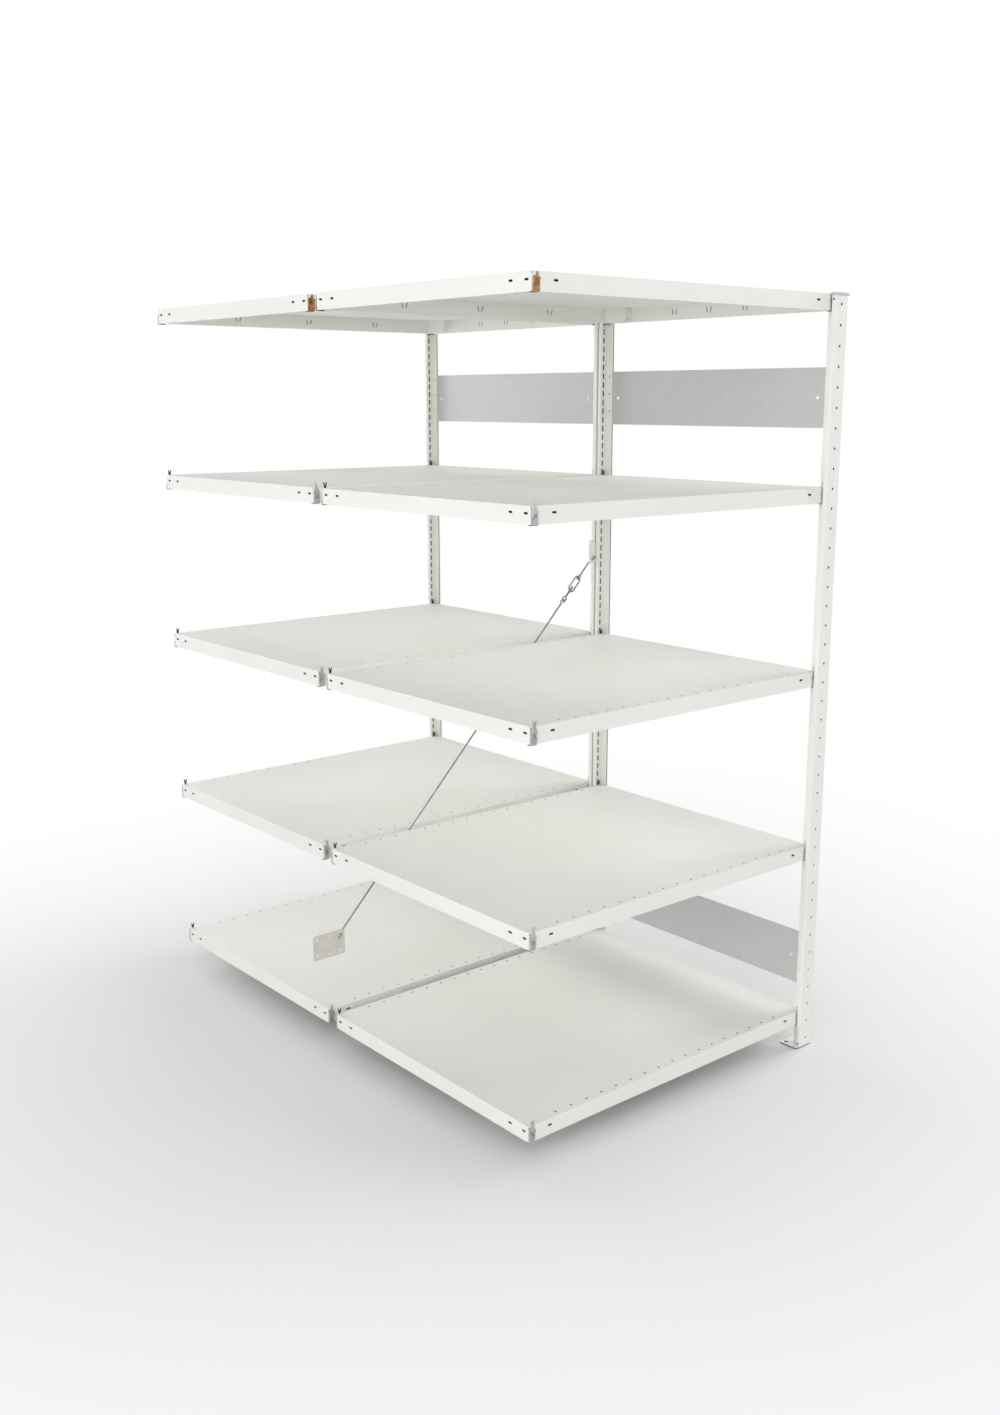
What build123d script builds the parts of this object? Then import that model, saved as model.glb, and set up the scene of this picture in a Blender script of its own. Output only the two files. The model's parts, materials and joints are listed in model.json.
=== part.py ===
from build123d import *
import os
from math import atan2, cos, sin

# Double-sided add-on bay of clip-in steel shelving. Its own posts stand at the +X end only.
# The shelves' other ends, at X near 0, hang in use on the posts of the neighbouring bay.
# X runs along the shelves, Y through the depth (near bay at -Y, far bay at +Y) and Z is up.
# The origin is on the floor, at the centre of the neighbour's posts. Sizes are in millimetres.

# Driving sizes of the bay
shelf_length = 995.0
shelf_depth = 800.0
post_height = 2000.0
back_gap = 6.0
clip_gap = 5.0
end_clearance = 2.0
overrun = 0.5

# Post profile, a hollow T: a flange in front and a double-walled web behind it
flange_width = 50.0
flange_depth = 12.0
post_depth = 36.5
web_thickness = 6.0
post_wall = 1.5
post_corner = 2.0

# Perforation of the posts
first_slot = 12.5
slot_pitch = 25.0
slot_length = 16.0
slot_width = 5.0
slot_inset = 10.0
face_hole = 7.0
lug_hole = 9.0
lug_hole_inset = 12.0

# Foot and cap plates, with the plug of each that sits inside the flange
foot_plate = 3.0
foot_front = 1.0
foot_depth = 58.0
foot_outer = 39.0
foot_corner = 6.0
anchor_hole = 12.0
anchor_out = 25.5
anchor_back = 45.0
cap_plate = 3.0
cap_overhang = 2.0
cap_skirt = 4.0
cap_corner = 2.0
foot_plug = 17.0
cap_plug = 20.0
plug_wall = 2.0
plug_play = 0.3
foot_pin_rise = 7.0
cap_pin_drop = 13.0
pin_hole = 6.0

# Frame panels, folded from thin sheet and clipped between the webs
panel_height = 150.0
panel_sheet = 1.0
panel_play = 0.3
panel_entry = 18.0
panel_hole = 8.0
panel_hole_inset = 23.5
panel_lug_drop = 12.5
lug_play = 1.2
lug_recess = 1.0

# Shelf, a folded tray
sheet = 1.0
lip_height = 40.0
bend_radius = 0.8
edge_return = 24.0
end_return = 15.0
deck_hole = 6.0
deck_hole_pitch = 50.0
deck_hole_inset = 16.0
deck_hole_end = 97.5
wall_slot_length = 13.0
wall_slot_height = 5.0
wall_slot_drop = 16.0
face_slot_end = 65.0
end_slot_near = 18.0
end_slot_far = 68.0
vee_length = 15.0
vee_width = 2.6
vee_spread = 7.0
vee_drop = 19.0
vee_tilt = 18.0
end_vee_step = 125.0
seam_width = 1.0
seam_relief = 3.0
seam_relief_drop = 3.0
lip_slot_end = 30.0
lip_slot_inset = 12.0
lip_slot_length = 10.0
lip_slot_width = 4.0
corner_reach = 37.5
corner_length = 110.0
corner_chamfer = 10.0
corner_tab = 15.0
corner_ring_inset = 78.0
corner_ring_length = 20.0
corner_ring_height = 10.0
corner_ring_width = 1.6
corner_ring_depth = 0.6

# Clips at the shelf corners
clip_sheet = 2.0
clip_width = 17.0
clip_play = 0.3
foot_reach = 10.0
fork_height = 14.0
hook_thickness = 3.0
hook_neck = 7.0
hook_nose = 2.5
hook_drop = 5.0
hook_play = 0.3
hook_rise = 15.5
tab_width = 8.0
tab_height = 10.0
tab_x = 10.0
tab_drop = 31.0
tab_slit = 1.0

# Outlines of the clips: x as a share of the clip's width, z as a share of the lip or fork height
plain_clip_shares = ((0, -1), (1, -1), (1, -0.52), (1.2, -0.36), (0.86, -0.05), (0, -0.05))
top_clip_shares = (
    (0, -1), (1.15, -1), (1.15, -0.42), (1.3, -0.35), (1.15, -0.27), (0.92, -0.3),
    (0.92, -0.03), (0.62, -0.03), (0.55, -0.27), (0.3, -0.22), (0, -0.3),
)
fork_shares = (
    (0.42, -0.3), (0.42, 0.3), (0.3, 1), (0.48, 1), (0.62, 0.45),
    (0.78, 1), (0.96, 1), (0.82, 0.3), (0.82, -0.3),
)

# Brace in the gap between the two bays
gusset_length = 100.0
gusset_height = 70.0
gusset_plate = 3.0
gusset_corner = 8.0
gusset_hole = 8.0
gusset_hole_x = 38.0
gusset_hole_z = 22.0
fixing_hole = 6.6
rivet_shank = 6.4
rivet_head = 10.0
rivet_head_height = 1.2
spacer_width = 14.0
rod = 5.0
rod_play = 0.3
hook_bend = 4.0
hook_tail = 12.0
frame_below_hook = 96.0
frame_length = 50.0
frame_width = 24.0
frame_bar = 3.5
frame_corner = 5.0
window_corner = 2.0
boss = 11.0
boss_tip = 9.0
boss_length = 9.0
boss_straight = 4.0
swivel_head = 8.4
swivel_head_height = 4.0
swivel_play = 0.3
bore_play = 0.08
thread = 6.0
thread_inside = 12.0
eye_below_hook = 153.0
eye_radius = 7.0
eye_wire = 4.0

# Counts
level_slots = (3, 22, 41, 60)
lower_panel_slot = 12
upper_panel_slots_down = 8
panel_lugs = 3
lower_gusset_slot = 11
upper_gusset_slot = 51
bays = (("near", -1), ("far", 1))

# Places worked out from the sizes above
shelf_start = web_thickness / 2 + end_clearance
bay_pitch = shelf_length + 2 * shelf_start
shelf_back = back_gap / 2 + flange_depth + clip_gap
post_face = shelf_back + shelf_depth + clip_gap + flange_depth
slot_count = int((post_height - first_slot) / slot_pitch) + 1
slot_heights = [first_slot + slot_pitch * k for k in range(slot_count)]
face_pitch = 2 * slot_pitch
first_face_hole = first_slot + slot_pitch / 2
face_hole_count = int((post_height - first_face_hole) / face_pitch) + 1
face_hole_heights = [first_face_hole + face_pitch * k for k in range(face_hole_count)]
slot_from_centre = flange_width / 2 - slot_inset
level_tops = [slot_heights[k] + hook_rise for k in level_slots] + [post_height]
upper_panel_slot = slot_count - upper_panel_slots_down
panel_slots = (("bottom", lower_panel_slot), ("top", upper_panel_slot))
lug_back = post_depth - lug_hole_inset
pin_low = foot_plate + foot_pin_rise
pin_high = post_height - cap_pin_drop
foot_inner = flange_width / 2
os.makedirs("parts", exist_ok=True)


def lug_slots(top_slot):
    """Slot numbers at which one panel is clipped, from its top lug down."""
    return [top_slot - 2 * k for k in range(panel_lugs)]


def facing(shape, face_y, side):
    """A shape made for a post whose face looks along -Y, set at face_y to look along side * Y."""
    turned = shape if side < 0 else mirror(shape, about=Plane.XZ, mode=Mode.PRIVATE)
    return turned.moved(Location((bay_pitch, face_y, 0)))


# Name, y of the front face and the way it looks, for each of the four posts
post_places = (
    ("near_front", -post_face, -1),
    ("near_rear", -back_gap / 2, 1),
    ("far_rear", back_gap / 2, -1),
    ("far_front", post_face, 1),
)


def lug_triangle(height, size):
    """Triangle in the YZ plane of a post's web, pointing to the flange."""
    with BuildSketch(Plane.YZ) as triangle:
        with Locations((lug_back, height)):
            Triangle(a=size, b=size, c=size, rotation=90, align=(Align.CENTER, Align.CENTER))
    return triangle.sketch


def make_post():
    """Perforated T profile with its front face at y = 0, looking along -Y."""
    with BuildPart() as post:
        with BuildSketch(Plane.XY.offset(foot_plate)) as profile:
            with Locations((0, flange_depth / 2)):
                Rectangle(flange_width, flange_depth)
            fillet(profile.vertices(), post_corner)
            with Locations((0, (flange_depth + post_depth) / 2)):
                Rectangle(web_thickness, post_depth - flange_depth)
            with Locations((0, flange_depth / 2)):
                cavity_width = flange_width - 2 * post_wall
                Rectangle(cavity_width, flange_depth - 2 * post_wall, mode=Mode.SUBTRACT)
            slit_start = flange_depth - 2 * post_wall
            with Locations((0, (slit_start + post_depth + overrun) / 2)):
                slit_depth = post_depth + overrun - slit_start
                Rectangle(web_thickness - 2 * post_wall, slit_depth, mode=Mode.SUBTRACT)
        extrude(amount=post_height - foot_plate)

        # Round holes down the front face
        with BuildSketch(Plane.XZ.offset(overrun)):
            with Locations(*[(0, z) for z in face_hole_heights]):
                Circle(face_hole / 2)
        extrude(amount=-(post_wall + 2 * overrun), mode=Mode.SUBTRACT)

        # Slots for the clips' hooks down both ledges behind the flange
        with BuildSketch(Plane.XZ.offset(-(flange_depth + overrun))):
            for side in (-1, 1):
                with Locations(*[(side * slot_from_centre, z) for z in slot_heights]):
                    Rectangle(slot_width, slot_length)
        extrude(amount=post_wall + 2 * overrun, mode=Mode.SUBTRACT)

        # Triangular holes for the panels' lugs
        for _, top_slot in panel_slots:
            for number in lug_slots(top_slot):
                extrude(lug_triangle(slot_heights[number], lug_hole), both=True,
                        amount=web_thickness / 2 + overrun, mode=Mode.SUBTRACT)

        # Pin holes of the foot and the cap, in the side that faces the shelves
        with BuildSketch(Plane.YZ.offset(-(flange_width / 2 + overrun))):
            with Locations(*[(flange_depth / 2, z) for z in (pin_low, pin_high)]):
                Circle(pin_hole / 2)
        extrude(amount=post_wall + 2 * overrun, mode=Mode.SUBTRACT)
    return post.part


def plug_ring(base):
    """Plan of a U-shaped upstand that fits in the flange, at the height base."""
    width = flange_width - 2 * (post_wall + plug_play)
    depth = flange_depth - 2 * (post_wall + plug_play)
    with BuildSketch(Plane.XY.offset(base)) as ring:
        with Locations((0, flange_depth / 2)):
            Rectangle(width, depth)
        with Locations((0, (flange_depth + plug_wall) / 2)):
            Rectangle(width - 2 * plug_wall, depth - plug_wall, mode=Mode.SUBTRACT)
    return ring.sketch


def make_foot():
    """Floor plate with an anchor hole beside the post and a plug inside it."""
    with BuildPart() as foot:
        with BuildSketch() as plan:
            with Locations(((foot_inner - foot_outer) / 2, foot_depth / 2 - foot_front)):
                RectangleRounded(foot_inner + foot_outer, foot_depth, foot_corner)
            with Locations((-anchor_out, anchor_back)):
                Circle(anchor_hole / 2, mode=Mode.SUBTRACT)
        extrude(amount=foot_plate)
        extrude(plug_ring(foot_plate), amount=foot_plug)
        with BuildSketch(Plane.YZ.offset(-flange_width / 2)):
            with Locations((flange_depth / 2, pin_low)):
                Circle(pin_hole / 2)
        extrude(amount=2 * post_wall + plug_wall + plug_play, mode=Mode.SUBTRACT)
    return foot.part


def make_cap():
    """Cap of the profile: a plate, a skirt around the flange and a plug inside it."""
    with BuildPart() as cap:
        with BuildSketch(Plane.XY.offset(post_height - cap_skirt)):
            with Locations((0, flange_depth / 2)):
                RectangleRounded(flange_width + 2 * cap_overhang, flange_depth + 2 * cap_overhang,
                                 cap_corner)
        extrude(amount=cap_skirt + cap_plate)
        with BuildSketch(Plane.XY.offset(post_height - cap_skirt)):
            with Locations((0, flange_depth / 2)):
                Rectangle(flange_width + 2 * plug_play, flange_depth + 2 * plug_play)
            with Locations((0, flange_depth + cap_overhang / 2)):
                Rectangle(web_thickness + 2 * plug_play, cap_overhang + overrun)
        extrude(amount=cap_skirt, mode=Mode.SUBTRACT)
        with BuildSketch(Plane.XY.offset(post_height)):
            with Locations((0, post_depth / 2)):
                Rectangle(web_thickness, post_depth)
        extrude(amount=cap_plate)
        extrude(plug_ring(post_height), amount=-cap_plug)
        with BuildSketch(Plane.YZ.offset(-flange_width / 2)):
            with Locations((flange_depth / 2, pin_high)):
                Circle(pin_hole / 2)
        extrude(amount=2 * post_wall + plug_wall + plug_play, mode=Mode.SUBTRACT)
    return cap.part


post_blank = make_post()
foot_blank = make_foot()
cap_blank = make_cap()

for place, face_y, side in post_places:
    for kind, blank in (("post", post_blank), ("foot", foot_blank), ("cap", cap_blank)):
        with BuildPart() as piece:
            add(facing(blank, face_y, side))
        piece.part.label = f"{kind}_{place}"
        export_step(piece.part, f"parts/{piece.part.label}.step")


def make_panel(top_slot):
    """Frame panel of the near bay: one face sheet with folded edges and pressed lugs."""
    reach = post_depth - panel_entry
    start = -post_face + reach
    end = -back_gap / 2 - reach
    top = slot_heights[top_slot] + panel_lug_drop
    middle = top - panel_height / 2
    half_thickness = web_thickness / 2 - post_wall - panel_play
    hole_back = post_depth + panel_hole_inset
    with BuildPart() as panel:
        with BuildSketch(Plane.YZ.offset(bay_pitch - half_thickness)):
            with Locations(((start + end) / 2, middle)):
                Rectangle(end - start, panel_height)
        extrude(amount=2 * half_thickness)
        with BuildSketch(Plane.YZ.offset(bay_pitch - half_thickness + panel_sheet)):
            with Locations(((start + end) / 2, middle)):
                Rectangle(end - start, panel_height - 2 * panel_sheet)
        extrude(amount=2 * half_thickness, mode=Mode.SUBTRACT)
        with BuildSketch(Plane.YZ.offset(bay_pitch - half_thickness - overrun)):
            with Locations((-post_face + hole_back, middle), (-back_gap / 2 - hole_back, middle)):
                Circle(panel_hole / 2)
        extrude(amount=panel_sheet + 2 * overrun, mode=Mode.SUBTRACT)
        for number in lug_slots(top_slot):
            lug = lug_triangle(slot_heights[number], lug_hole - 2 * lug_play)
            for face_y, side in ((-post_face, -1), (-back_gap / 2, 1)):
                lug_face = facing(lug, face_y, side).moved(Location((lug_recess - web_thickness / 2, 0, 0)))
                lug_length = web_thickness / 2 - lug_recess - half_thickness + panel_sheet
                extrude(lug_face, amount=lug_length, dir=(1, 0, 0))
    return panel.part


for height, top_slot in panel_slots:
    panel_blank = make_panel(top_slot)
    for bay, side in bays:
        with BuildPart() as panel:
            add(panel_blank if side < 0 else mirror(panel_blank, about=Plane.XZ, mode=Mode.PRIVATE))
        panel.part.label = f"frame_panel_{bay}_{height}"
        export_step(panel.part, f"parts/{panel.part.label}.step")


def vee_slots(plane, middles):
    """Pairs of leaning slots, shaped like a V, around the given places on a wall."""
    with BuildSketch(plane) as slots:
        for middle in middles:
            for side in (-1, 1):
                with Locations((middle + side * vee_spread, -vee_drop)):
                    Rectangle(vee_width, vee_length, rotation=-side * vee_tilt)
    return slots.sketch


def make_shelf():
    """One tray, centred in plan, with its deck's top at z = 0."""
    half_length = shelf_length / 2
    half_depth = shelf_depth / 2
    hole_count = int((shelf_length - 2 * deck_hole_end) / deck_hole_pitch) + 1
    with BuildPart() as shelf:
        with BuildSketch():
            Rectangle(shelf_length, shelf_depth)
        extrude(amount=-lip_height)
        fillet(shelf.edges().filter_by(Axis.Z), bend_radius)
        fillet(shelf.faces().sort_by(Axis.Z)[-1].edges(), bend_radius)

        # Open underside between the inner walls
        with BuildSketch(Plane.XY.offset(-lip_height)):
            Rectangle(shelf_length - 2 * end_return, shelf_depth - 2 * edge_return)
        extrude(amount=lip_height - sheet, mode=Mode.SUBTRACT)

        # Hollow of the folded edges, between the outer and the inner walls
        with BuildSketch(Plane.XY.offset(-sheet)):
            Rectangle(shelf_length - 2 * sheet, shelf_depth - 2 * sheet)
            Rectangle(shelf_length - 2 * (end_return - sheet), shelf_depth - 2 * (edge_return - sheet),
                      mode=Mode.SUBTRACT)
        extrude(amount=-(lip_height - 2 * sheet), mode=Mode.SUBTRACT)

        # Holes along both long edges of the deck
        with BuildSketch(Plane.XY.offset(overrun)):
            with GridLocations(deck_hole_pitch, shelf_depth - 2 * deck_hole_inset, hole_count, 2):
                Circle(deck_hole / 2)
        extrude(amount=-(sheet + 2 * overrun), mode=Mode.SUBTRACT)

        # Slots in the outer walls and V slots in the inner walls
        for side in (-1, 1):
            with BuildSketch(Plane.XZ.offset(side * (half_depth + overrun))):
                slot_x = half_length - face_slot_end
                with Locations((-slot_x, -wall_slot_drop), (slot_x, -wall_slot_drop)):
                    SlotOverall(wall_slot_length, wall_slot_height)
            extrude(amount=-side * (sheet + 2 * overrun), mode=Mode.SUBTRACT)
            with BuildSketch(Plane.YZ.offset(side * (half_length + overrun))):
                for inset in (end_slot_near, end_slot_far):
                    slot_y = half_depth - inset
                    with Locations((-slot_y, -wall_slot_drop), (slot_y, -wall_slot_drop)):
                        SlotOverall(wall_slot_length, wall_slot_height)
            extrude(amount=-side * (sheet + 2 * overrun), mode=Mode.SUBTRACT)
            long_wall = Plane.XZ.offset(side * (half_depth - edge_return - overrun))
            extrude(vee_slots(long_wall, (-half_length / 2, 0, half_length / 2)),
                    amount=side * (sheet + 2 * overrun), mode=Mode.SUBTRACT)
            end_wall = Plane.YZ.offset(side * (half_length - end_return - overrun))
            extrude(vee_slots(end_wall, (-end_vee_step, 0, end_vee_step)),
                    amount=side * (sheet + 2 * overrun), mode=Mode.SUBTRACT)

        # Open seam at each corner, where the folded end meets the long wall, with its relief hole
        seam_y = half_depth - sheet - seam_width / 2
        seam_length = lip_height - sheet - seam_relief_drop
        for side in (-1, 1):
            with BuildSketch(Plane.YZ.offset(side * (half_length + overrun))):
                with Locations((-seam_y, -seam_relief_drop), (seam_y, -seam_relief_drop)):
                    Circle(seam_relief / 2)
                    with Locations((0, -seam_length / 2)):
                        Rectangle(seam_width, seam_length)
            extrude(amount=-side * (sheet + 2 * overrun), mode=Mode.SUBTRACT)

        # Small slots in the bottom lip near the corners
        with BuildSketch(Plane.XY.offset(-lip_height - overrun)):
            slot_x = half_length - lip_slot_end
            with GridLocations(2 * slot_x, shelf_depth - 2 * lip_slot_inset, 2, 2):
                SlotOverall(lip_slot_length, lip_slot_width)
        extrude(amount=sheet + 2 * overrun, mode=Mode.SUBTRACT)

        # Reinforcement inside each corner: a chamfered plate with a pressed ring, and its two folds
        for x_side in (-1, 1):
            for y_side in (-1, 1):
                outer = y_side * (half_depth - edge_return)
                inner = y_side * (half_depth - corner_length)
                shoulder = y_side * (half_depth - corner_length + corner_chamfer)
                low = corner_chamfer - lip_height
                plate_x = x_side * (half_length - corner_reach)
                with BuildSketch(Plane.YZ.offset(plate_x)):
                    with BuildLine():
                        Polyline((outer, -sheet), (outer, -lip_height), (shoulder, -lip_height),
                                 (inner, low), (inner, -sheet), close=True)
                    make_face()
                extrude(amount=x_side * sheet)
                with BuildSketch(Plane.YZ.offset(plate_x)):
                    with Locations((y_side * (half_depth - corner_ring_inset), -wall_slot_drop)):
                        SlotOverall(corner_ring_length, corner_ring_height)
                        SlotOverall(corner_ring_length - 2 * corner_ring_width,
                                    corner_ring_height - 2 * corner_ring_width, mode=Mode.SUBTRACT)
                extrude(amount=x_side * corner_ring_depth, mode=Mode.SUBTRACT)
                with BuildSketch(Plane.XY.offset(-lip_height)):
                    with Locations((plate_x - x_side * corner_tab / 2, outer - y_side * sheet / 2)):
                        Rectangle(corner_tab, sheet)
                extrude(amount=lip_height - sheet)
                with BuildSketch(Plane.XZ.offset(-inner)):
                    corner_x = x_side * (half_length - (corner_reach + end_return) / 2)
                    with Locations((corner_x, (low - sheet) / 2)):
                        Rectangle(corner_reach - end_return, -low - sheet)
                extrude(amount=-y_side * sheet)
    return shelf.part


shelf_blank = make_shelf()
shelf_middle_x = shelf_start + shelf_length / 2
shelf_middle_y = shelf_back + shelf_depth / 2

for bay, side in bays:
    for number, top in enumerate(level_tops, 1):
        with BuildPart() as shelf:
            with Locations((shelf_middle_x, side * shelf_middle_y, top)):
                add(shelf_blank)
        shelf.part.label = f"shelf_{bay}_{number}"
        export_step(shelf.part, f"parts/{shelf.part.label}.step")


def clip_face(shares, x_size, z_size):
    """Face on the XZ plane from an outline's shares of two sizes."""
    with BuildSketch(Plane.XZ) as face:
        with BuildLine():
            Polyline([(x * x_size, z * z_size) for x, z in shares], close=True)
        make_face()
    return face.sketch


def make_clip(shares, forked, slot_drop):
    """Corner clip at a shelf's free end: x = 0 at the end, y = 0 on its face, z = 0 at its top."""
    hook_x = slot_from_centre - shelf_start
    seat = -slot_drop - slot_length / 2
    behind = -(clip_gap + post_wall + hook_play)
    with BuildPart() as clip:
        extrude(clip_face(shares, clip_width, lip_height), amount=clip_sheet)
        if forked:
            extrude(clip_face(fork_shares, clip_width, fork_height), amount=clip_sheet)

            # Springy tab, cut free on three sides
            with BuildSketch(Plane.XZ.offset(-overrun)):
                with Locations((tab_x, -tab_drop)):
                    with Locations((-tab_width / 2, 0)):
                        Rectangle(tab_slit, tab_height + tab_slit)
                    with GridLocations(0, tab_height, 1, 2):
                        Rectangle(tab_width, tab_slit)
            extrude(amount=clip_sheet + 2 * overrun, mode=Mode.SUBTRACT)

        # Folded side, and the foot that carries the shelf's lip
        side_low = lip_height
        side_high = -shares[-1][1] * lip_height
        with Locations((0, -(clip_gap - clip_play), -side_low)):
            Box(clip_sheet, clip_gap - clip_play, side_low - side_high, align=Align.MIN)
        with Locations((0, -clip_sheet, -lip_height - clip_sheet)):
            Box(clip_width, clip_sheet + foot_reach, clip_sheet, align=Align.MIN)

        # Hook through the post's slot, with its nose down behind the ledge
        with BuildSketch(Plane.YZ.offset(hook_x - hook_thickness / 2)):
            with BuildLine():
                Polyline((0, seat), (behind, seat), (behind, seat - hook_drop),
                         (behind - hook_nose, seat - hook_drop), (behind - hook_nose, seat + hook_neck),
                         (0, seat + hook_neck), close=True)
            make_face()
        extrude(amount=hook_thickness)
    return clip.part


def clips_of_shelf(clip, top, side):
    """The four clips of one shelf, mirrored to its corners."""
    other_end = mirror(clip, about=Plane.YZ, mode=Mode.PRIVATE)
    corners = []
    for end, x in ((clip, shelf_start), (other_end, shelf_start + shelf_length)):
        turned = mirror(end, about=Plane.XZ, mode=Mode.PRIVATE)
        low_y, high_y = sorted((side * shelf_back, side * (shelf_back + shelf_depth)))
        corners.append(end.moved(Location((x, low_y, top))))
        corners.append(turned.moved(Location((x, high_y, top))))
    return corners


plain_clip = make_clip(plain_clip_shares, True, hook_rise)
top_clip = make_clip(top_clip_shares, False, post_height - slot_heights[-1])

for bay, side in bays:
    for number, top in enumerate(level_tops, 1):
        if top == post_height:
            corners = clips_of_shelf(top_clip, top, side)
            groups = (("_free_end", corners[:2]), ("_post_end", corners[2:]))
        else:
            groups = (("", clips_of_shelf(plain_clip, top, side)),)
        for suffix, members in groups:
            with BuildPart() as group:
                for corner in members:
                    add(corner)
            group.part.label = f"clips_{bay}_{number}{suffix}"
            export_step(group.part, f"parts/{group.part.label}.step")

# Line of the brace, from the lower plate's hook hole to the upper plate's
lower_gusset_z = slot_heights[lower_gusset_slot] + slot_pitch / 2
upper_gusset_z = slot_heights[upper_gusset_slot] + slot_pitch / 2
low_x = gusset_hole_x
low_z = lower_gusset_z + gusset_hole_z
high_x = bay_pitch - gusset_hole_x
high_z = upper_gusset_z - gusset_hole_z
slope = atan2(high_z - low_z, high_x - low_x)
rod_off = gusset_plate / 2 + rod / 2 + rod_play
up = Vector(cos(slope), 0, sin(slope))
across = Vector(sin(slope), 0, -cos(slope))
hook_point = Vector(high_x, rod_off, high_z)
low_point = Vector(low_x, rod_off, low_z)

# Plane through the brace, and the axis up its rod
brace_side = Plane(origin=hook_point, x_dir=across, z_dir=(0, -1, 0))
brace_axis = Axis(hook_point, up)


def make_gusset(x, z):
    """Plate in the middle of the gap between the bays."""
    with BuildPart() as gusset:
        with BuildSketch(Plane.XZ.offset(-gusset_plate / 2)):
            with Locations((x, z)):
                RectangleRounded(gusset_length, gusset_height, gusset_corner)
                with GridLocations(2 * gusset_hole_x, 2 * gusset_hole_z, 2, 2):
                    Circle(gusset_hole / 2, mode=Mode.SUBTRACT)
                with GridLocations(0, face_pitch, 1, 2):
                    Circle(fixing_hole / 2, mode=Mode.SUBTRACT)
        extrude(amount=gusset_plate)
    return gusset.part


def hooked_end(point, way):
    """Centre line of a rod's end that passes through a plate at point and runs on along way."""
    crossed = Vector(point.X, -point.Y, point.Z)
    return [crossed + way * hook_tail, crossed, point]


def turned_profile(points):
    """Half profile beside the brace's axis, from pairs of radius and distance up the rod."""
    with BuildSketch(brace_side) as profile:
        with BuildLine():
            Polyline(points, close=True)
        make_face()
    return profile.sketch


def eye(distance, normal):
    """Ring of wire around a point of the brace's axis."""
    centre = hook_point + up * distance
    with BuildSketch(Plane(origin=centre, x_dir=up, z_dir=up.cross(normal))) as wire:
        with Locations((eye_radius, 0)):
            Circle(eye_wire / 2)
    return revolve(wire.sketch, axis=Axis(centre, normal), mode=Mode.PRIVATE)


# The upper plate is cut flush with the posts on the side where no brace hooks in
with BuildPart() as upper_gusset_plate:
    add(make_gusset(bay_pitch, upper_gusset_z))
    split(bisect_by=Plane.YZ.offset(bay_pitch + flange_width / 2), keep=Keep.BOTTOM)
upper_gusset_plate.part.label = "upper_gusset_plate"
export_step(upper_gusset_plate.part, "parts/upper_gusset_plate.step")

with BuildPart() as lower_gusset_plate:
    add(make_gusset(0, lower_gusset_z))
lower_gusset_plate.part.label = "lower_gusset_plate"
export_step(lower_gusset_plate.part, "parts/lower_gusset_plate.step")

fixing_heights = (upper_gusset_z - face_pitch / 2, upper_gusset_z + face_pitch / 2)

# Rivets through the upper plate and the front walls of both middle posts
with BuildPart() as gusset_rivets:
    head_start = back_gap / 2 + post_wall
    reach = head_start + rivet_head_height
    for z in fixing_heights:
        with BuildSketch(Plane.XZ.offset(-reach)):
            with Locations((bay_pitch, z)):
                Circle(rivet_shank / 2)
        extrude(amount=2 * reach)
        for start in (head_start, -reach):
            with BuildSketch(Plane.XZ.offset(start)):
                with Locations((bay_pitch, z)):
                    Circle(rivet_head / 2)
            extrude(amount=rivet_head_height)
gusset_rivets.part.label = "gusset_rivets"
export_step(gusset_rivets.part, "parts/gusset_rivets.step")

# Spacer rings between the upper plate and each post
with BuildPart() as gusset_spacers:
    for start in (gusset_plate / 2, -back_gap / 2):
        with BuildSketch(Plane.XZ.offset(start)):
            with Locations(*[(bay_pitch, z) for z in fixing_heights]):
                Circle(spacer_width / 2)
                Circle(fixing_hole / 2, mode=Mode.SUBTRACT)
        extrude(amount=(back_gap - gusset_plate) / 2)
gusset_spacers.part.label = "gusset_spacers"
export_step(gusset_spacers.part, "parts/gusset_spacers.step")

# Turnbuckle frame: a closed strap with a turned boss at each end
window_top = -frame_below_hook + frame_length / 2 - frame_bar
window_bottom = -frame_below_hook - frame_length / 2 + frame_bar
with BuildPart() as turnbuckle_frame:
    with BuildSketch(brace_side):
        with Locations((0, -frame_below_hook)):
            RectangleRounded(frame_width, frame_length, frame_corner)
            RectangleRounded(frame_width - 2 * frame_bar, frame_length - 2 * frame_bar,
                             window_corner, mode=Mode.SUBTRACT)
    extrude(amount=frame_bar / 2, both=True)
    for inside, way in ((window_top, 1), (window_bottom, -1)):
        shoulder = inside + way * boss_straight
        tip = inside + way * boss_length
        boss_profile = turned_profile(
            [(0, inside), (boss / 2, inside), (boss / 2, shoulder), (boss_tip / 2, tip), (0, tip)])
        revolve(boss_profile, axis=brace_axis)
    for inside, way, bore in ((window_top, 1, rod), (window_bottom, -1, thread)):
        low, high = sorted((inside - way * overrun, inside + way * (boss_length + overrun)))
        bore_radius = bore / 2 + bore_play
        bore_profile = turned_profile([(0, low), (bore_radius, low), (bore_radius, high), (0, high)])
        revolve(bore_profile, axis=brace_axis, mode=Mode.SUBTRACT)
turnbuckle_frame.part.label = "turnbuckle_frame"
export_step(turnbuckle_frame.part, "parts/turnbuckle_frame.step")

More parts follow.
